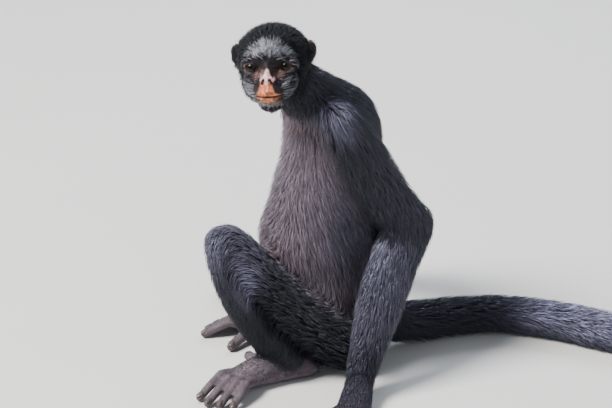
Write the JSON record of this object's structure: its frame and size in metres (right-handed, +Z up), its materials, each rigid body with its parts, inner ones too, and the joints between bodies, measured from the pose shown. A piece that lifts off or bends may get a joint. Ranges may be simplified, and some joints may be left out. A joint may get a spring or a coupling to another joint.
{
  "type": "monkey",
  "caption": "Life-size still model of a black spider monkey sitting on the ground, propped on its arms, head turned over its left shoulder, tail laid out behind.",
  "frame": {"origin": "on the floor, in the middle of the flat under the rump", "axes": "+X is the animal's left, +Y is behind the hips, the way the tail goes, +Z is up"},
  "size_m": [0.5488, 0.7565, 0.4426],
  "materials": {
    "coat": "glossy black fur",
    "face": "soft bare skin, pink round the nose and lips",
    "bare_skin": "creased dark skin with sparse hair",
    "nail": "smooth dark horn",
    "eye": "wet, very dark brown"
  },
  "bodies": {
    "root": {"abdomen": "coat", "chest": "coat", "ear_left": "coat", "ear_right": "coat", "eye_left": "eye", "eye_right": "eye", "finger_left_1": "bare_skin", "finger_left_2": "bare_skin", "finger_left_3": "bare_skin", "finger_left_4": "bare_skin", "finger_right_1": "bare_skin", "finger_right_2": "bare_skin", "finger_right_3": "bare_skin", "finger_right_4": "bare_skin", "foot_left": "bare_skin", "foot_right": "bare_skin", "forearm_left": "coat", "forearm_right": "coat", "hand_left": "bare_skin", "hand_right": "bare_skin", "head": "face", "neck": "coat", "shin_left": "coat", "shin_right": "coat", "tail_1": "coat", "tail_2": "coat", "tail_3": "coat", "tail_4": "coat", "thigh_left": "coat", "thigh_right": "coat", "toe_left_1": "bare_skin", "toe_left_2": "bare_skin", "toe_left_3": "bare_skin", "toe_left_4": "bare_skin", "toe_left_5": "bare_skin", "toe_right_1": "bare_skin", "toe_right_2": "bare_skin", "toe_right_3": "bare_skin", "toe_right_4": "bare_skin", "toe_right_5": "bare_skin", "upper_arm_left": "coat", "upper_arm_right": "coat"}
  },
  "joints": []
}
